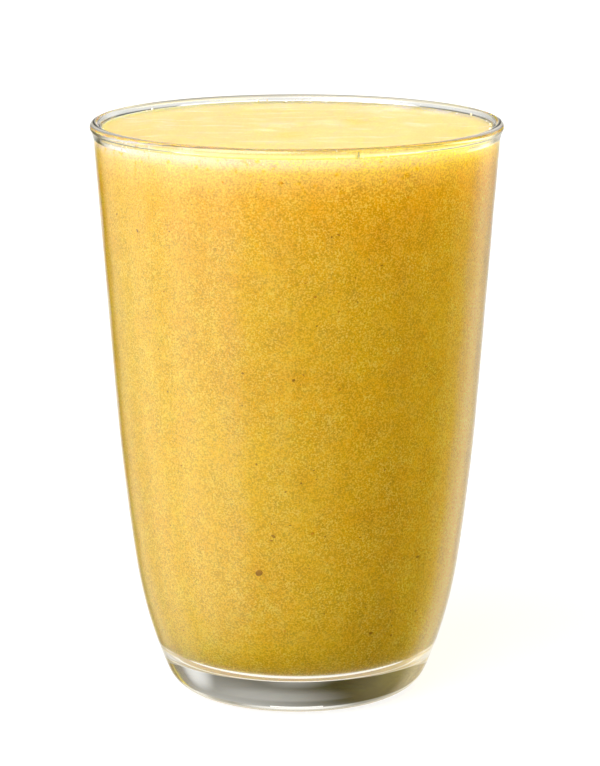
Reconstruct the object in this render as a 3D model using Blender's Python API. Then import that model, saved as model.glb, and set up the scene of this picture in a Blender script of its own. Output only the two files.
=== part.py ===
"""A glass of smoothie: a clear pressed tumbler with a heavy foot, filled almost to its rim.

Run it with: blender --background --python part.py
Lengths are in metres, +Z is up, and the origin is the centre of the foot, on the table.
"""

from math import asin, atan, atan2, cos, exp, hypot, pi, sin
from typing import NamedTuple

import bmesh
import bpy

MM = 0.001

# Driving dimensions
HEIGHT = 118.4 * MM
RIM_RADIUS = 42.0 * MM
RIM_BEAD_RADIUS = 1.0 * MM
RIM_BEAD_DEPTH = 3.3 * MM
FLOOR_THICKNESS = 7.8 * MM
DRINK_BELOW_RIM = 1.7 * MM
CLEARANCE = 0.3 * MM

# The hollow pressed into the underside, which leaves a flat ring to stand on
HOLLOW_RADIUS = 16.5 * MM
HOLLOW_HEIGHT = 0.9 * MM

# The drink's surface: its edge climbs the glass, and stirring has left a low swirl in it
EDGE_CLIMB = 0.5 * MM
EDGE_WIDTH = 0.9 * MM
SWIRL_HEIGHT = 0.22 * MM
SWIRL_ARMS = 2
SWIRL_TURNS = 1.6

SEGMENTS = 72
SAME_POINT = 0.001 * MM
SHARP_ANGLE = 35 * pi / 180


class Wall(NamedTuple):
    """One side of the tumbler's wall: a straight taper, a long arc, a short arc and the floor's corner."""

    top: float
    radius_at_top: float
    taper: float
    straight_down_to: float
    long_arc: float
    long_arc_down_to: float
    short_arc: float
    corner: float
    floor: float


OUTSIDE = Wall(
    top=HEIGHT,
    radius_at_top=RIM_RADIUS - 0.5 * MM,
    taper=0.0743,
    straight_down_to=62.2 * MM,
    long_arc=500 * MM,
    long_arc_down_to=26.6 * MM,
    short_arc=92 * MM,
    corner=6.2 * MM,
    floor=0,
)
INSIDE = Wall(
    top=HEIGHT,
    radius_at_top=RIM_RADIUS - 2.5 * MM,
    taper=0.0775,
    straight_down_to=62.2 * MM,
    long_arc=460 * MM,
    long_arc_down_to=30 * MM,
    short_arc=74 * MM,
    corner=7.5 * MM,
    floor=FLOOR_THICKNESS,
)

LONG_ARC_STEPS = 4
SHORT_ARC_STEPS = 6
CORNER_STEPS = 6
BEAD_STEPS = 10
HOLLOW_STEPS = 4
FLOOR_RINGS = 3
SURFACE_RINGS = 13


def arc(centre, radius, start, end, steps):
    """Points on an arc. Angles are measured downwards from the outward radius."""
    radial, height = centre
    angles = [start + (end - start) * step / steps for step in range(steps + 1)]
    return [(radial + radius * cos(a), height - radius * sin(a)) for a in angles]


def wall_outline(wall, down_from, inset=0.0):
    """(radius, height) points from down_from to the floor, with inset as a parallel step inwards."""
    slope = atan(wall.taper)
    radius_at_bend = wall.radius_at_top - wall.taper * (wall.top - wall.straight_down_to)
    long_centre = (
        radius_at_bend - wall.long_arc * cos(slope),
        wall.straight_down_to + wall.long_arc * sin(slope),
    )
    joint = asin((long_centre[1] - wall.long_arc_down_to) / wall.long_arc)
    between = wall.long_arc - wall.short_arc
    short_centre = (
        long_centre[0] + between * cos(joint),
        long_centre[1] - between * sin(joint),
    )
    reach = wall.short_arc - wall.corner
    turn = asin((short_centre[1] - wall.floor - wall.corner) / reach)
    corner_centre = (short_centre[0] + reach * cos(turn), wall.floor + wall.corner)

    radius_there = wall.radius_at_top - wall.taper * (wall.top - down_from) - inset / cos(slope)
    points = [(radius_there, down_from)]
    points += arc(long_centre, wall.long_arc - inset, slope, joint, LONG_ARC_STEPS)
    points += arc(short_centre, wall.short_arc - inset, joint, turn, SHORT_ARC_STEPS)[1:]
    points += arc(corner_centre, wall.corner - inset, turn, pi / 2, CORNER_STEPS)[1:]
    return points


def floor_points(edge, height, rings):
    """Points along a level floor from its edge in to the axis."""
    return [(edge * (1 - ring / rings), height) for ring in range(1, rings + 1)]


def bead_outline():
    """The rounded lip, from its outer side over the top to its inner side."""
    centre = (RIM_RADIUS - RIM_BEAD_RADIUS, HEIGHT - RIM_BEAD_RADIUS)
    return arc(centre, RIM_BEAD_RADIUS, pi / 4, -pi, BEAD_STEPS)


def hollow_outline(edge):
    """The shallow dome under the foot, from its edge in to the axis."""
    points = []
    for step in range(HOLLOW_STEPS + 1):
        share = step / HOLLOW_STEPS
        points.append((edge * (1 - share), HOLLOW_HEIGHT * sin(share * pi / 2) ** 2))
    return points


def finish(name, shape, material):
    """The turned shape as an object of its own, shaded smooth up to its edges."""
    mesh = bpy.data.meshes.new(name)
    shape.to_mesh(mesh)
    shape.free()
    mesh.materials.append(material)
    mesh.shade_smooth()
    mesh.set_sharp_from_angle(angle=SHARP_ANGLE)
    made = bpy.data.objects.new(name, mesh)
    bpy.context.scene.collection.objects.link(made)
    return made


def turned(outline):
    """A closed solid of revolution from an outline whose two ends lie on the axis."""
    shape = bmesh.new()
    points = [shape.verts.new((radial, 0, height)) for radial, height in outline]
    lines = [shape.edges.new(pair) for pair in zip(points, points[1:])]
    bmesh.ops.spin(
        shape,
        geom=points + lines,
        axis=(0, 0, 1),
        angle=2 * pi,
        steps=SEGMENTS,
        use_merge=True,
    )
    bmesh.ops.remove_doubles(shape, verts=shape.verts, dist=SAME_POINT)
    bmesh.ops.recalc_face_normals(shape, faces=shape.faces)
    return shape


def tumbler(material):
    """The glass itself, in one piece from lip to foot."""
    outside = wall_outline(OUTSIDE, HEIGHT - RIM_BEAD_DEPTH)
    inside = wall_outline(INSIDE, HEIGHT - RIM_BEAD_DEPTH)
    floor = floor_points(inside[-1][0], FLOOR_THICKNESS, FLOOR_RINGS)
    outline = (
        hollow_outline(HOLLOW_RADIUS)[::-1] + outside[::-1] + bead_outline() + inside + floor
    )
    return finish("tumbler", turned(outline), material)


def swirl(x, y, reach):
    """How far stirring lifts the surface at a point, fading out towards the edge and the middle."""
    radial = hypot(x, y)
    share = radial / reach
    phase = SWIRL_ARMS * atan2(y, x) + 2 * pi * SWIRL_TURNS * share
    return SWIRL_HEIGHT * sin(phase) * 4 * share * (1 - share)


def surface_outline(edge, level):
    """The drink's top from the glass in to the axis: the climbing edge, then rings to the middle."""
    points = []
    for ring in range(SURFACE_RINGS + 1):
        share = ring / SURFACE_RINGS
        from_glass = edge * share**2
        climb = EDGE_CLIMB * exp(-from_glass / EDGE_WIDTH)
        points.append((edge - from_glass, level + climb))
    return points


def smoothie(material):
    """The drink up to its level, parallel to the inside of the tumbler."""
    level = HEIGHT - DRINK_BELOW_RIM
    wall = wall_outline(INSIDE, level + EDGE_CLIMB, CLEARANCE)
    edge = wall[0][0]
    floor = floor_points(wall[-1][0], FLOOR_THICKNESS + CLEARANCE, FLOOR_RINGS)
    shape = turned(surface_outline(edge, level)[::-1] + wall[1:] + floor)
    for vert in shape.verts:
        if vert.co.z > level - SAME_POINT:
            vert.co.z += swirl(vert.co.x, vert.co.y, edge)
    return finish("smoothie", shape, material)


def clear_glass():
    material = bpy.data.materials.new("clear_glass")
    material.use_nodes = True
    shader = material.node_tree.nodes["Principled BSDF"]
    shader.inputs["Base Color"].default_value = (0.95, 0.97, 0.95, 1)
    shader.inputs["Roughness"].default_value = 0.02
    shader.inputs["Metallic"].default_value = 0
    shader.inputs["IOR"].default_value = 1.52
    shader.inputs["Transmission Weight"].default_value = 1
    return material


def blended_fruit():
    material = bpy.data.materials.new("blended_fruit")
    material.use_nodes = True
    shader = material.node_tree.nodes["Principled BSDF"]
    shader.inputs["Base Color"].default_value = (0.86, 0.58, 0.13, 1)
    shader.inputs["Roughness"].default_value = 0.3
    shader.inputs["Metallic"].default_value = 0
    shader.inputs["Subsurface Weight"].default_value = 0.4
    return material


def main():
    for old in list(bpy.data.objects):
        bpy.data.objects.remove(old)
    tumbler(clear_glass())
    smoothie(blended_fruit())


main()
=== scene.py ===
import math
import random

import bpy
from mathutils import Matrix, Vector


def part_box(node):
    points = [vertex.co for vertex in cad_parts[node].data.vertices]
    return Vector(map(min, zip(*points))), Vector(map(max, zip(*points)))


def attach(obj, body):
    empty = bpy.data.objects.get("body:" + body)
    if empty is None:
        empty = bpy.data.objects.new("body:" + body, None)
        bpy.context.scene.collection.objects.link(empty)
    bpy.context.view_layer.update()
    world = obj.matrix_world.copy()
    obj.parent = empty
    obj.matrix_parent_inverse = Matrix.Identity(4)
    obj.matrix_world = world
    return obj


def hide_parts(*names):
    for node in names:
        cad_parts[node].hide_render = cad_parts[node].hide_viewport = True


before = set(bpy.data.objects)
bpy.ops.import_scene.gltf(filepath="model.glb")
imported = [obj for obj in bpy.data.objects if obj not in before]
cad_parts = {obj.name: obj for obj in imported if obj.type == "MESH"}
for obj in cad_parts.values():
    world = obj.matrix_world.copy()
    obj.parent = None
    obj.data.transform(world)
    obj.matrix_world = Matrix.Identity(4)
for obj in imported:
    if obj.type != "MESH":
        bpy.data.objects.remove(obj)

mm = 0.001
scene = bpy.context.scene
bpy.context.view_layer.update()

# sizes that every piece is worked out from
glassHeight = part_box("tumbler")[1].z
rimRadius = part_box("tumbler")[1].x

# the glass's wall, outside and inside: a straight taper, a long arc, a short arc, the floor's corner
outsideWall = {
    "radiusAtTop": rimRadius - 0.5 * mm,
    "taper": 0.0743,
    "straightDownTo": 62.2 * mm,
    "longArc": 500 * mm,
    "longArcDownTo": 26.6 * mm,
    "shortArc": 92 * mm,
    "corner": 6.2 * mm,
    "floor": 0,
}
insideWall = {
    "radiusAtTop": rimRadius - 2.5 * mm,
    "taper": 0.0775,
    "straightDownTo": 62.2 * mm,
    "longArc": 460 * mm,
    "longArcDownTo": 30 * mm,
    "shortArc": 74 * mm,
    "corner": 10.5 * mm,
    "floor": 7.8 * mm,
}


# profiles, as (radius, height) points


def arcPoints(centre, radius, start, end, steps):
    angles = [start + (end - start) * step / steps for step in range(steps + 1)]
    return [(centre[0] + radius * math.cos(a), centre[1] - radius * math.sin(a)) for a in angles]


def wallProfile(wall, downFrom, inset=0.0):
    slope = math.atan(wall["taper"])
    bendRadius = wall["radiusAtTop"] - wall["taper"] * (glassHeight - wall["straightDownTo"])
    longCentre = (
        bendRadius - wall["longArc"] * math.cos(slope),
        wall["straightDownTo"] + wall["longArc"] * math.sin(slope),
    )
    joint = math.asin((longCentre[1] - wall["longArcDownTo"]) / wall["longArc"])
    between = wall["longArc"] - wall["shortArc"]
    shortCentre = (
        longCentre[0] + between * math.cos(joint),
        longCentre[1] - between * math.sin(joint),
    )
    reach = wall["shortArc"] - wall["corner"]
    turn = math.asin((shortCentre[1] - wall["floor"] - wall["corner"]) / reach)
    cornerCentre = (shortCentre[0] + reach * math.cos(turn), wall["floor"] + wall["corner"])
    radiusThere = wall["radiusAtTop"] - wall["taper"] * (glassHeight - downFrom) - inset / math.cos(slope)
    points = [(radiusThere, downFrom)]
    points += arcPoints(longCentre, wall["longArc"] - inset, slope, joint, 16)
    points += arcPoints(shortCentre, wall["shortArc"] - inset, joint, turn, 24)[1:]
    points += arcPoints(cornerCentre, wall["corner"] - inset, turn, math.pi / 2, 14)[1:]
    return points


def evenPoints(points, gap):  # the same line with its points an even gap apart
    lengths = [math.dist(a, b) for a, b in zip(points, points[1:])]
    steps = max(1, round(sum(lengths) / gap))
    step = sum(lengths) / steps
    even = [points[0]]
    walked, piece = 0.0, 0
    for count in range(1, steps):
        while walked + lengths[piece] < count * step:
            walked += lengths[piece]
            piece += 1
        share = (count * step - walked) / lengths[piece]
        (r0, z0), (r1, z1) = points[piece], points[piece + 1]
        even.append((r0 + (r1 - r0) * share, z0 + (z1 - z0) * share))
    return even + [points[-1]]


def wallRadius(wall, height):  # the wall's radius at a height
    profile = wallProfile(wall, glassHeight)
    for (r0, z0), (r1, z1) in zip(profile, profile[1:]):
        if z1 <= height <= z0:
            return r0 + (r1 - r0) * (z0 - height) / (z0 - z1)
    return profile[-1][0]


# modelling


def deselectAll():
    if bpy.context.mode != "OBJECT":
        bpy.ops.object.mode_set(mode="OBJECT")
    bpy.ops.object.select_all(action="DESELECT")


def turnProfile(name, profile, segments):  # a profile drawn point by point, then spun round the axis
    deselectAll()
    bpy.ops.mesh.primitive_plane_add(size=mm)
    piece = bpy.context.object
    piece.name = name
    bpy.ops.object.mode_set(mode="EDIT")
    bpy.ops.mesh.select_mode(type="VERT")
    bpy.ops.mesh.select_all(action="SELECT")
    bpy.ops.mesh.merge(type="CENTER")
    bpy.ops.transform.translate(value=(profile[0][0], 0, profile[0][1]))
    for (r0, z0), (r1, z1) in zip(profile, profile[1:]):
        bpy.ops.mesh.extrude_region_move(TRANSFORM_OT_translate={"value": (r1 - r0, 0, z1 - z0)})
    bpy.ops.mesh.select_all(action="SELECT")
    bpy.ops.mesh.spin(steps=segments, angle=2 * math.pi, center=(0, 0, 0), axis=(0, 0, 1))
    bpy.ops.mesh.select_all(action="SELECT")
    bpy.ops.mesh.remove_doubles(threshold=0.002 * mm)
    bpy.ops.mesh.normals_make_consistent(inside=False)
    bpy.ops.object.mode_set(mode="OBJECT")
    bpy.ops.object.shade_smooth()
    return piece


def selectVertices(piece, wanted):  # in object mode, leaves edit mode on with them selected
    deselectAll()
    bpy.context.view_layer.objects.active = piece
    piece.select_set(True)
    bpy.ops.object.mode_set(mode="EDIT")
    bpy.ops.mesh.select_mode(type="VERT")
    bpy.ops.mesh.select_all(action="DESELECT")
    bpy.ops.object.mode_set(mode="OBJECT")
    count = 0
    for vertex in piece.data.vertices:
        if wanted(vertex.co):
            vertex.select = True
            count += 1
    bpy.ops.object.mode_set(mode="EDIT")
    return count


def register(piece, material, slotName, *nodes):
    piece.data.materials.clear()
    piece.data.materials.append(material)
    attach(piece, "root")
    if nodes:
        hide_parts(*nodes)


# shader maths: a socket that sums can be written with


class Wire:
    def __init__(self, tree, socket=None):
        self.tree = tree
        self.socket = socket

    def add(self, kind, settings=None, sockets=None, output=0):
        node = self.tree.nodes.new(kind)
        for name, value in (settings or {}).items():
            setattr(node, name, value)
        for name, value in (sockets or {}).items():
            if isinstance(value, Wire):
                self.tree.links.new(value.socket, node.inputs[name])
            else:
                node.inputs[name].default_value = value
        return Wire(self.tree, node.outputs[output])

    def maths(self, operation, *values):
        return self.add("ShaderNodeMath", {"operation": operation}, dict(enumerate(values)))

    def atMost(self, limit):
        return self.maths("MINIMUM", self, limit)

    def __add__(self, other):
        return self.maths("ADD", self, other)

    __radd__ = __add__

    def __sub__(self, other):
        return self.maths("SUBTRACT", self, other)

    def __rsub__(self, other):
        return self.maths("SUBTRACT", other, self)

    def __mul__(self, other):
        return self.maths("MULTIPLY", self, other)

    __rmul__ = __mul__

    def noise(self, scale, detail=2.0, roughness=0.5):
        return self.add(
            "ShaderNodeTexNoise",
            {"noise_dimensions": "3D"},
            {"Vector": self, "Scale": scale, "Detail": detail, "Roughness": roughness},
        )

    # eases from start to end as the value passes from low to high
    def between(self, low, high, start=0.0, end=1.0):
        settings = {"interpolation_type": "SMOOTHSTEP"}
        sockets = {"Value": self, "From Min": low, "From Max": high, "To Min": start, "To Max": end}
        return self.add("ShaderNodeMapRange", settings, sockets)

    # the first colour where the value is 0, the second where it is 1
    def tint(self, first, second):
        return self.add("ShaderNodeMix", {"data_type": "RGBA"}, {0: self, 6: first, 7: second}, 2)

    def scaled(self, x, y, z):
        return self.add("ShaderNodeVectorMath", {"operation": "MULTIPLY"}, {0: self, 1: (x, y, z)})

    # a soft oval on the level, given in millimetres
    def patch(self, x, y, width, depth, strength):
        centre = (x * mm, y * mm, 0)
        away = self.add("ShaderNodeVectorMath", {"operation": "SUBTRACT"}, {0: self, 1: centre})
        away = away.scaled(1 / (width * mm), 1 / (depth * mm), 0)
        reach = away.add("ShaderNodeVectorMath", {"operation": "LENGTH"}, {0: away}, 1)
        return reach.between(0.4, 1.2, strength, 0)

    def axis(self, name):
        return self.add("ShaderNodeSeparateXYZ", None, {0: self}, "XYZ".index(name))


def newMaterial(name):
    material = bpy.data.materials.new(name)
    material.use_nodes = True
    tree = material.node_tree
    wire = Wire(tree)
    place = wire.add("ShaderNodeTexCoord", None, None, 3)
    return material, tree.nodes["Principled BSDF"], place


def feed(shader, **values):  # sets or links the shader's sockets, named without their spaces
    for socket in shader.inputs:
        value = values.get(socket.name.replace(" ", ""))
        if value is None:
            continue
        if isinstance(value, Wire):
            value.tree.links.new(value.socket, socket)
        else:
            socket.default_value = value


# the glass

glassLook = {
    "segments": 240,
    "beadRadius": 1.0 * mm,
    "beadDepth": 3.3 * mm,
    "beadSteps": 22,
    "hollowRadius": 16.5 * mm,
    "hollowHeight": 0.9 * mm,
    "outsideGap": 1.5 * mm,
    "insideGap": 0.85 * mm,
    "floorGap": 1.6 * mm,
    "ior": 1.52,
    "tint": (0.985, 0.992, 0.985, 1),
    "rippleScale": 55,
    "rippleStrength": 0.05,
}

# shallow oval dimples that the mould leaves in the inner wall, each row half a pitch aside of the next
dimples = {
    "columns": 24,
    "rowHeights": [100.0, 90.4, 81.0, 71.2, 61.4, 51.8, 42.2, 32.6, 21.6],
    "rowPitch": 9.66 * mm,
    "firstTurn": math.radians(1.6),
    "depth": 0.16 * mm,
    "reach": 3.4 * mm,
    "halfHeight": 1.9 * mm,
    "bottomHalfHeight": 4.4 * mm,
}


def pressDimples(piece):
    pitch = 2 * math.pi / dimples["columns"]
    for row, height in enumerate(dimples["rowHeights"]):
        height *= mm
        last = row == len(dimples["rowHeights"]) - 1
        halfHeight = dimples["bottomHalfHeight"] if last else dimples["halfHeight"]
        turn = dimples["firstTurn"] + (0 if row % 2 else pitch / 2)
        outermost = wallRadius(insideWall, height + halfHeight) + 0.5 * mm
        innermost = wallRadius(insideWall, height - halfHeight) - 0.5 * mm
        halfColumn = 0.6 * math.pi / glassLook["segments"]

        def onDimple(point):
            if abs(point.z - height) > halfHeight:
                return False
            if not innermost < math.hypot(point.x, point.y) < outermost:
                return False
            turned = (math.atan2(point.x, -point.y) - turn) / pitch
            return abs(turned - round(turned)) * pitch < 2 * halfColumn

        selectVertices(piece, onDimple)
        shrink = 1 - dimples["depth"] / wallRadius(insideWall, height)
        bpy.ops.transform.resize(
            value=(shrink, shrink, 1),
            center_override=(0, 0, 0),
            use_proportional_edit=True,
            proportional_edit_falloff="SMOOTH",
            proportional_size=dimples["reach"],
        )
        bpy.ops.object.mode_set(mode="OBJECT")


def glassProfile():
    under = [(0, glassLook["hollowHeight"])]
    for step in range(1, 13):
        share = 1 - step / 12
        rise = glassLook["hollowHeight"] * math.sin(share * math.pi / 2) ** 2
        under.append((glassLook["hollowRadius"] * (1 - share), rise))
    lipStart = glassHeight - glassLook["beadDepth"]
    outside = evenPoints(wallProfile(outsideWall, lipStart), glassLook["outsideGap"])
    inside = evenPoints(wallProfile(insideWall, lipStart), glassLook["insideGap"])
    centre = (rimRadius - glassLook["beadRadius"], glassHeight - glassLook["beadRadius"])
    bead = arcPoints(centre, glassLook["beadRadius"], math.pi / 4, -math.pi, glassLook["beadSteps"])
    floor = evenPoints([inside[-1], (0, insideWall["floor"])], glassLook["floorGap"])
    return under + outside[::-1] + bead + inside + floor[1:]


def clearGlass():
    material, shader, place = newMaterial("clearGlass")
    ripple = place.scaled(1, 1, 0.55).noise(glassLook["rippleScale"], 1)
    sockets = {"Strength": glassLook["rippleStrength"], "Distance": 1 * mm, "Height": ripple}
    drawn = place.add("ShaderNodeBump", None, sockets)
    feed(
        shader,
        BaseColor=glassLook["tint"],
        Roughness=0.0,
        IOR=glassLook["ior"],
        TransmissionWeight=1.0,
        Normal=drawn,
    )
    return material


glassPiece = turnProfile("tumblerGlass", glassProfile(), glassLook["segments"])
pressDimples(glassPiece)
register(glassPiece, clearGlass(), "glass", "tumbler")
print("glass:", len(glassPiece.data.polygons), "faces")


# the drink

drinkLook = {
    "into": 0.08 * mm,  # how far it reaches into the wall
    "level": glassHeight - 1.7 * mm,
    "edgeClimb": 0.5 * mm,
    "edgeWidth": 0.9 * mm,
    "wallGap": 0.85 * mm,
    "surfaceRings": 46,
    "body": (0.925, 0.600, 0.020, 1),
    "bodyDeep": (0.900, 0.555, 0.014, 1),
    "spotted": (0.875, 0.55, 0.008, 1),
    # partly painted light: a paler band below the rim, for froth and for light that comes in through the
    # top and scatters down
    "froth": (0.960, 0.670, 0.26, 1),
    "foam": (0.955, 0.69, 0.71, 1),
    "surface": (0.575, 0.405, 0.205, 1),
    "surfaceDeep": (0.560, 0.370, 0.130, 1),
    "cream": (0.61, 0.485, 0.36, 1),
    "pulp": (0.935, 0.630, 0.045, 1),
    # painted highlight: the colour of the glint dots
    "glint": (0.99, 0.82, 0.18, 1),
    "scatter": (1.0, 0.8, 0.12),  # how far red, green and blue travel inside, as shares of the depth
    "scatterDepth": 20.0 * mm,
    "wetness": 0.15,
    "rimGlow": 0.30,
    "throughGlass": 1.34 / 1.52,  # the drink's index over the glass's
}

# how fine the drink's clouds, pulp, grain and glints are, and how strongly each one shades it
pulpLook = {
    "cloudScale": 38,
    "patchScale": 150,
    "coarseScale": 330,
    "softScale": 420,
    "spotScale": 560,
    "pulpScale": 1150,
    "glintScale": 2900,
    "grainScale": 3300,
    "coarse": 0.20,
    "pulp": 0.32,
    "grain": 0.35,
    "fine": 1.2,
    "fineOnSide": 0.6,
    "fineLowDown": 0.5,
    "fineDarkest": -0.15,
    "brightest": 1.04,
    "spotStrength": 0.75,
    "bumpHeight": 0.12 * mm,
}


def drinkProfile():
    level = drinkLook["level"]
    into = -drinkLook["into"]
    wall = wallProfile(insideWall, level + drinkLook["edgeClimb"], into)
    wall = evenPoints(wall, drinkLook["wallGap"])
    edge = wall[0][0]
    rings = drinkLook["surfaceRings"]
    surface = []
    for ring in range(rings + 1):
        fromGlass = edge * (ring / rings) ** 1.6
        climb = drinkLook["edgeClimb"] * math.exp(-fromGlass / drinkLook["edgeWidth"])
        surface.append((edge - fromGlass, level + climb))
    floor = evenPoints([wall[-1], (0, wall[-1][1])], 2 * mm)
    return surface[::-1] + wall[1:] + floor[1:]


# low ridges that stirring left: each is an arc about a centre beside the middle of the glass
swirls = [
    {"centre": (8, -6), "radius": 15, "from": -30, "to": 170, "lift": 0.30},
    {"centre": (14, 4), "radius": 9, "from": 60, "to": 300, "lift": 0.26},
    {"centre": (-6, 2), "radius": 24, "from": 150, "to": 330, "lift": 0.22},
    {"centre": (-2, 8), "radius": 19, "from": 20, "to": 130, "lift": 0.24},
    {"centre": (4, -10), "radius": 22, "from": 190, "to": 290, "lift": 0.18},
]


def raiseSwirls(piece):
    for swirl in swirls:
        centre = Vector((*swirl["centre"], 0)) * mm
        radius = swirl["radius"] * mm
        start, end = math.radians(swirl["from"]), math.radians(swirl["to"])

        def onRidge(point):
            if point.z < drinkLook["level"] - 0.3 * mm or math.hypot(point.x, point.y) > 34 * mm:
                return False
            away = point - centre
            turned = (math.atan2(away.y, away.x) - start) % (2 * math.pi)
            return abs(math.hypot(away.x, away.y) - radius) < 0.55 * mm and turned < end - start

        if selectVertices(piece, onRidge):
            bpy.ops.transform.translate(
                value=(0, 0, swirl["lift"] * mm),
                use_proportional_edit=True,
                proportional_edit_falloff="SMOOTH",
                proportional_size=3.2 * mm,
            )
        bpy.ops.object.mode_set(mode="OBJECT")


# patches where stirring left the surface paler or deeper: x, y, half width, half depth, strength
palePatches = [
    (0, 5, 11, 6, 0.7), (25, 6, 3.5, 8, 0.8), (-27, 4, 3, 8, 0.5), (-19, 13, 3, 6, 0.4),
    (27, 26, 16, 9, 0.8), (12, -2, 4, 3, 0.6), (-16, -6, 7, 2, 0.6), (-2, -19, 13, 3, 0.5),
]
deepPatches = [(13, 10, 4, 8, 0.9), (-2, -9, 6, 6, 0.8), (33, -6, 5, 9, 0.5), (-32, -6, 5, 8, 0.4)]


def blendedFruit():
    material, shader, place = newMaterial("blendedFruit")
    height = place.axis("Z")
    across = place.axis("X")
    onTop = height.between(drinkLook["level"] - 0.25 * mm, drinkLook["level"] - 0.1 * mm)

    # broad clouds of thicker and thinner drink, then pulp grain
    clouds = place.noise(pulpLook["cloudScale"], 2)
    pulp = place.noise(pulpLook["pulpScale"], 2, 0.6)
    grain = place.noise(pulpLook["grainScale"], 1)
    body = clouds.between(0.35, 0.65).tint(drinkLook["bodyDeep"], drinkLook["body"])
    body = place.noise(pulpLook["softScale"], 2).between(0.44, 0.70).tint(body, drinkLook["pulp"])
    # partly painted light: the band below the rim is made paler, both as froth and in place of light that
    # enters through the top and scatters down
    froth = height.between(glassHeight - 14 * mm, glassHeight - 3 * mm)
    body = (froth * froth).tint(body, drinkLook["froth"])
    foam = height.between(glassHeight - 5.2 * mm, glassHeight - 2.6 * mm)
    body = foam.tint(body, drinkLook["foam"])

    # cream streaks drawn out by stirring
    bent = place.add(
        "ShaderNodeVectorMath",
        {"operation": "ADD"},
        {0: place, 1: place.noise(30, 2).tint((0, 0, 0, 1), (0.02, 0.012, 0, 1))},
    )
    streaks = bent.scaled(0.30, 1.5, 1).noise(240, 4, 0.62).between(0.52, 0.72)
    ragged = bent.noise(170, 3, 0.6).between(0.35, 0.65)
    deep = sum(place.patch(*row) for row in deepPatches) * ragged
    pale = sum(place.patch(*row) for row in palePatches) * ragged
    surface = deep.atMost(1.0).tint(drinkLook["surface"], drinkLook["surfaceDeep"])
    surface = (streaks + pale).atMost(1.0).tint(surface, drinkLook["cream"])
    colour = onTop.tint(body, surface)

    # soft spots of thicker pulp, then fine grain set with painted glints, both coarser on the +X side
    # painted shade and glints: this mask grows towards +X, the side the lights leave darker
    side = across.between(-20 * mm, 34 * mm) * (1 - onTop)
    spots = place.noise(pulpLook["spotScale"], 1).between(0.60, 0.74) * (1 - onTop)
    colour = (pulpLook["spotStrength"] * spots).tint(colour, drinkLook["spotted"])
    sparkle = place.noise(pulpLook["glintScale"], 1, 0.6)
    patch = place.noise(pulpLook["patchScale"], 2).between(0.38, 0.62)
    coarse = place.noise(pulpLook["coarseScale"], 2)
    # lower down the grain is coarser and the drink is painted a little darker as shade
    lowerGrainAndShade = height.between(80 * mm, 12 * mm)
    # painted glints: bright dots of the glint colour, more of them on the +X side
    paintedGlintDots = sparkle.between(0.54, 0.62) * (0.60 + 0.40 * side)
    paintedGlintDots = paintedGlintDots * (1 - 0.8 * onTop) * (0.5 + 0.5 * patch)
    shade = (coarse - 0.5) * pulpLook["coarse"] + (pulp - 0.5) * pulpLook["pulp"]
    shade = shade + (grain - 0.5) * pulpLook["grain"]
    fineness = pulpLook["fine"] + pulpLook["fineOnSide"] * side + pulpLook["fineLowDown"] * lowerGrainAndShade
    fine = place.maths("MAXIMUM", (sparkle - 0.5) * fineness, pulpLook["fineDarkest"])
    # painted shade: the +X side and the lower part are darkened a little
    shade = shade + fine - 0.04 - 0.03 * side - 0.01 * lowerGrainAndShade

    # painted shade: the drink is darkened faintly behind the dimples in the wall, more on the +X side
    turned = place.maths("ARCTAN2", across, 0 - place.axis("Y")) - dimples["firstTurn"]
    rows = (height - dimples["rowHeights"][1] * mm) * (math.pi / dimples["rowPitch"])
    dimpleShade = place.maths("COSINE", turned * dimples["columns"]) * place.maths("COSINE", rows)
    shade = shade - dimpleShade.between(0.1, 0.9) * (0.02 + 0.03 * side)
    value = (1.0 + shade * (1 - 0.7 * onTop)).atMost(pulpLook["brightest"])
    colour = place.add("ShaderNodeHueSaturation", None, {"Color": colour, "Value": value})
    colour = paintedGlintDots.tint(colour, drinkLook["glint"])

    relief = pulp * 0.6 + streaks * onTop + paintedGlintDots
    sockets = {"Strength": 0.5, "Distance": pulpLook["bumpHeight"], "Height": relief}
    bumps = place.add("ShaderNodeBump", None, sockets)
    feed(
        shader,
        BaseColor=colour,
        Roughness=0.5,
        IOR=1.36,
        SpecularIORLevel=0.06,
        CoatWeight=drinkLook["wetness"] * onTop,
        CoatRoughness=0.12,
        SubsurfaceWeight=1.0,
        SubsurfaceRadius=drinkLook["scatter"],
        SubsurfaceScale=drinkLook["scatterDepth"],
        Normal=bumps,
    )

    # seen at a glancing angle through the glass, the drink's face turns into a mirror, which also glows
    # faintly as painted light
    glowingMirror = Wire(place.tree, place.tree.nodes.new("ShaderNodeBsdfPrincipled").outputs[0])
    feed(
        glowingMirror.socket.node,
        BaseColor=(1, 1, 1, 1),
        Metallic=1.0,
        Roughness=0.03,
        EmissionColor=(1.0, 0.95, 0.84, 1),
        EmissionStrength=drinkLook["rimGlow"],
    )
    glancing = place.add("ShaderNodeFresnel", None, {"IOR": drinkLook["throughGlass"]}) * (1 - onTop)
    pulpy = Wire(place.tree, shader.outputs[0])
    seen = place.add("ShaderNodeMixShader", None, {0: glancing, 1: pulpy, 2: glowingMirror})
    place.tree.links.new(seen.socket, place.tree.nodes["Material Output"].inputs["Surface"])
    return material


drinkPiece = turnProfile("smoothieDrink", drinkProfile(), glassLook["segments"])
pressDimples(drinkPiece)
raiseSwirls(drinkPiece)
register(drinkPiece, blendedFruit(), "smoothie", "smoothie")
print("drink:", len(drinkPiece.data.polygons), "faces")


# flecks of fruit that lie against the glass: angle from the front towards +X, height, length

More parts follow.
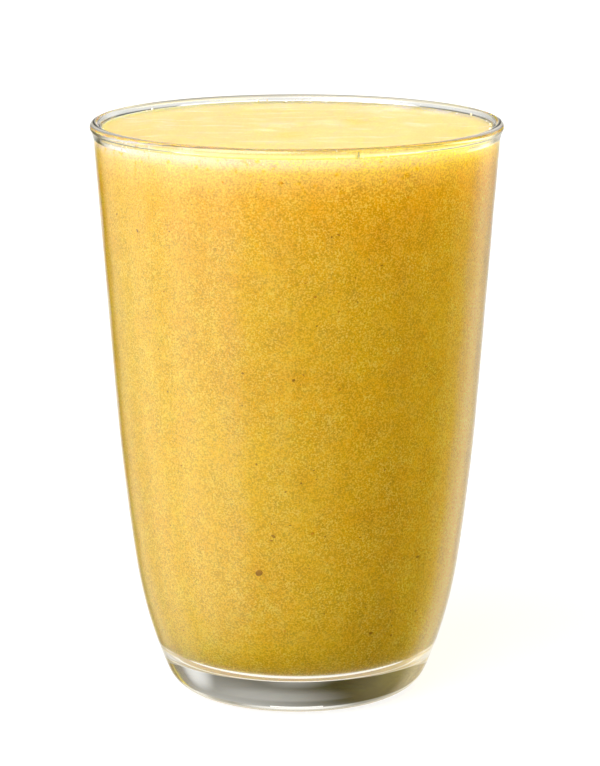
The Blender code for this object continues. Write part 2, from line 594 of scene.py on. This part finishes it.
flecks = {
    "peel": [
        (-13.3, 32.2, 1.6), (-53.4, 99.7, 0.8), (25.4, 94.9, 0.9), (47.3, 33.0, 1.0), (29.9, 18.4, 1.1),
        (-7.9, 40.1, 1.0), (-8.6, 39.2, 0.7), (-3.6, 49.6, 0.7), (12.0, 101.4, 0.7), (10.0, 101.0, 0.6),
        (1.4, 51.3, 0.5), (6.4, 52.1, 0.5), (28.8, 39.1, 0.6), (9.6, 37.1, 0.6),
    ],
    "zest": [
        (-4.1, 111.8, 1.3), (-21.0, 111.6, 1.0), (5.5, 89.2, 0.8), (12.5, 86.2, 0.9), (-16.3, 108.8, 0.7),
        (5.2, 40.8, 0.8), (-26.0, 103.0, 0.7), (-9.0, 104.5, 0.8), (33.0, 108.0, 0.8), (18.0, 76.0, 0.6),
    ],
    "strayPeel": 260,
    "strayZest": 260,
    "strayHeights": (11, 111),
    "peelColour": (0.50, 0.24, 0.004, 1),
    "zestColour": (0.84, 0.40, 0.012, 1),
}


def scatterFlecks(name, known, strays, seed, colour, slotName):
    chance = random.Random(seed)
    rows = list(known)
    for _ in range(strays):
        angle = chance.uniform(-180, 180)
        height = chance.uniform(*flecks["strayHeights"])
        rows.append((angle, height, 0.28 + 0.45 * chance.random() ** 2))
    deselectAll()
    bpy.ops.mesh.primitive_ico_sphere_add(subdivisions=1, radius=0.1 * mm, location=(0, 0, 60 * mm))
    piece = bpy.context.object
    piece.name = name
    bpy.ops.object.mode_set(mode="EDIT")
    for angle, height, length in rows:
        turn = math.radians(angle)
        radius = wallRadius(insideWall, height * mm)
        spot = (radius * math.sin(turn), -radius * math.cos(turn), height * mm)
        half = length / 2 * mm
        bpy.ops.mesh.primitive_ico_sphere_add(
            subdivisions=2 if length > 0.65 else 1,
            radius=half,
            location=spot,
            rotation=(0, chance.uniform(-1.2, 1.2), turn),
            scale=(1, min(0.10 * mm / half, 0.6), chance.uniform(0.45, 0.8)),
        )
    bpy.ops.mesh.select_all(action="SELECT")
    bpy.ops.transform.vertex_random(offset=0.03 * mm, seed=seed)
    bpy.ops.object.mode_set(mode="OBJECT")
    bpy.ops.object.shade_smooth()
    bpy.ops.object.transform_apply(location=True, rotation=True, scale=True)
    material, shader, place = newMaterial(name + "Finish")
    mottle = place.noise(900, 2)
    dark = tuple(channel * 0.7 for channel in colour[:3]) + (1,)
    feed(
        shader,
        BaseColor=mottle.between(0.35, 0.65).tint(dark, colour),
        Roughness=0.4 + 0.2 * mottle,
        SpecularIORLevel=0.1,
    )
    register(piece, material, slotName)
    print(name + ":", len(rows), "flecks")


scatterFlecks("peelFlecks", flecks["peel"], flecks["strayPeel"], 11, flecks["peelColour"], "smoothie")
scatterFlecks("zestFlecks", flecks["zest"], flecks["strayZest"], 23, flecks["zestColour"], "smoothie")


# small bubbles along the drink's edge, against the glass below the lip

bubbles = {
    "count": 620,
    "seed": 5,
    "low": 115.2,
    "high": 117.5,
    "smallest": 0.10,
    "largest": 0.34,
    "strayClumps": 34,
    "clumps": [(-58, 10), (-40, 12), (-20, 14), (36, 8), (52, 8), (62, 6)],  # angle, spread
    "colour": (1.0, 1.0, 0.97, 1),
    "shaded": (0.62, 0.42, 0.16, 1),
}


def blowBubbles():
    chance = random.Random(bubbles["seed"])
    strays = range(bubbles["strayClumps"])
    clumps = [(chance.uniform(-180, 180), chance.uniform(4, 16)) for _ in strays]
    clumps += bubbles["clumps"]
    deselectAll()
    bpy.ops.mesh.primitive_ico_sphere_add(subdivisions=1, radius=0.1 * mm, location=(0, 0, 110 * mm))
    piece = bpy.context.object
    piece.name = "edgeBubbles"
    bpy.ops.object.mode_set(mode="EDIT")
    for _ in range(bubbles["count"]):
        centre, spread = chance.choice(clumps)
        turn = math.radians(chance.gauss(centre, spread / 2))
        height = chance.triangular(bubbles["low"], bubbles["high"], bubbles["high"] - 1.2)
        spare = bubbles["largest"] - bubbles["smallest"]
        size = bubbles["smallest"] + spare * chance.random() ** 2.5
        radius = wallRadius(insideWall, height * mm) - (size * 0.35) * mm
        bpy.ops.mesh.primitive_ico_sphere_add(
            subdivisions=2,
            radius=size * mm,
            location=(radius * math.sin(turn), -radius * math.cos(turn), height * mm),
        )
    bpy.ops.object.mode_set(mode="OBJECT")
    bpy.ops.object.shade_smooth()
    bpy.ops.object.transform_apply(location=True, rotation=True, scale=True)
    material, shader, place = newMaterial("bubbleSkin")
    pale = place.noise(700, 1).between(0.3, 0.7)
    feed(
        shader,
        BaseColor=pale.tint(bubbles["shaded"], bubbles["colour"]),
        Roughness=0.05 + 0.08 * pale,
        IOR=1.33,
    )
    register(piece, material, "smoothie")
    print("bubbles:", bubbles["count"])


blowBubbles()


# floor, light and camera

studio = {
    "floorRadius": 3.0,
    "floor": (0.20, 0.20, 0.20, 1),
    "floorGlow": 0.88,
    "distance": 675 * mm,
    "aimHeight": 63.8 * mm,
    "orbitHeight": 59.2 * mm,
    "aside": 0.64 * mm,
    "elevation": math.radians(12.747),
    "lens": 153.44,
}


def layFloor():
    deselectAll()
    bpy.ops.mesh.primitive_circle_add(vertices=96, radius=studio["floorRadius"], fill_type="NGON")
    floor = bpy.context.object
    floor.name = "floor"
    bpy.ops.transform.translate(value=(0, 0, -0.05 * mm))
    bpy.ops.object.transform_apply(location=True, rotation=True, scale=True)
    material, shader, place = newMaterial("paleFloor")
    feed(
        shader,
        BaseColor=studio["floor"],
        Roughness=0.9,
        EmissionColor=(1, 1, 1, 1),
        EmissionStrength=studio["floorGlow"],
        SpecularIORLevel=0.0,
    )
    floor.data.materials.append(material)
    floor.visible_glossy = False
    floor.visible_diffuse = False
    floor.visible_transmission = False
    floor.visible_shadow = False


# soft lights round the glass: azimuth from the camera's side towards +X, elevation, spread, strength, tint
softLights = [
    (-40, 42, 42, 7.6, "white"),
    (-120, -20, 34, 0.8, "white"),
    (-90, -18, 34, 0.9, "white"),
    (-60, -18, 34, 1.35, "white"),
    (-30, -18, 34, 0.4, "white"),
    (0, -20, 34, 0.15, "white"),
    (144, -24, 28, 1.1, "cream"),
    (-154, -36, 28, 0.4, "cream"),
    (180, -12, 24, 0.85, "white"),
    (180, -36, 20, 0.35, "cream"),
    (180, -58, 30, 0.35, "white"),
    (160, 42, 42, 0.5, "white"),
    (139, 8, 14, 0.7, "white"),
    (96, 50, 34, 3.2, "amber"),
    (100, -22, 30, 1.1, "amber"),
    (126, -22, 26, 0.95, "honey"),
    (-135, 12, 32, 0.12, "straw"),
]
tints = {
    "white": (1.0, 1.0, 1.0),
    "cream": (1.0, 0.91, 0.70),
    "amber": (1.0, 0.80, 0.04),
    "honey": (1.0, 0.80, 0.28),
    "straw": (1.0, 0.82, 0.42),
    "dusk": (0.060, 0.054, 0.022),
}
lamps = [
    {
        "name": "nearLamp",
        "shape": "DISK",
        "size": (100 * mm, 100 * mm),
        "azimuth": math.radians(45),
        "away": 130 * mm,
        "height": 200 * mm,
        "aim": 100 * mm,
        "power": 0.086,
        "colour": (1.0, 0.85, 0.06),
        "throughGlassOnly": False,
    },
    {
        "name": "rimCard",  # a narrow card behind that only the far side of the lip looks onto
        "shape": "RECTANGLE",
        "size": (80 * mm, 136 * mm),
        "azimuth": math.pi,
        "away": 300 * mm,
        "height": 184 * mm,
        "aim": 184 * mm,
        "power": 0.034,
        "colour": (1.0, 0.98, 0.94),
        "throughGlassOnly": True,
    },
]


def softLight(towards, azimuth, elevation, spread, strength, tint):
    a, e = math.radians(azimuth), math.radians(elevation)
    axis = (math.sin(a) * math.cos(e), -math.cos(a) * math.cos(e), math.sin(e))
    facing = towards.add("ShaderNodeVectorMath", {"operation": "DOT_PRODUCT"}, {0: towards, 1: axis}, 1)
    edge = math.cos(math.radians(spread))
    core = math.cos(math.radians(0.15 * spread))
    shape = facing.between(edge, core, 0, strength)
    return towards.add("ShaderNodeVectorMath", {"operation": "SCALE"}, {0: tints[tint], "Scale": shape})


def lightStudio():
    world = bpy.data.worlds.new("studio")
    scene.world = world
    world.use_nodes = True
    wire = Wire(world.node_tree)
    towards = wire.add("ShaderNodeTexCoord", None, None, 0)
    light = softLight(towards, *softLights[0])
    for row in softLights[1:]:
        more = softLight(towards, *row)
        light = wire.add("ShaderNodeVectorMath", {"operation": "ADD"}, {0: light, 1: more})
    light = wire.add("ShaderNodeVectorMath", {"operation": "ADD"}, {0: light, 1: tints["dusk"]})
    background = world.node_tree.nodes["Background"]
    world.node_tree.links.new(light.socket, background.inputs["Color"])
    background.inputs["Strength"].default_value = 1.0

    for row in lamps:
        bpy.ops.object.light_add(type="AREA")
        lamp = bpy.context.object
        lamp.name = row["name"]
        lamp.data.shape = row["shape"]
        lamp.data.size, lamp.data.size_y = row["size"]
        lamp.data.energy = row["power"]
        lamp.data.color = row["colour"]
        turn, away = row["azimuth"], row["away"]
        lamp.location = (away * math.sin(turn), -away * math.cos(turn), row["height"])
        aim = Vector((0, 0, row["aim"])) - lamp.location
        lamp.rotation_euler = aim.to_track_quat("-Z", "Y").to_euler()
        lamp.visible_diffuse = not row["throughGlassOnly"]
        lamp.visible_glossy = not row["throughGlassOnly"]


def setCamera():
    bpy.ops.object.camera_add()
    camera = bpy.context.object
    camera.name = "photoCamera"
    camera.data.sensor_width = 36
    camera.data.lens = studio["lens"]
    camera.data.clip_start = 0.01
    tilt = studio["elevation"]
    camera.location = (
        studio["aside"],
        -studio["distance"] * math.cos(tilt),
        studio["orbitHeight"] + studio["distance"] * math.sin(tilt),
    )
    aim = Vector((studio["aside"], 0, studio["aimHeight"]))
    camera.rotation_mode = "QUATERNION"
    camera.rotation_quaternion = (aim - camera.location).to_track_quat("-Z", "Y")
    scene.camera = camera


layFloor()
lightStudio()
setCamera()
scene.view_settings.view_transform = "Standard"
scene.view_settings.look = "None"
print("stage set")
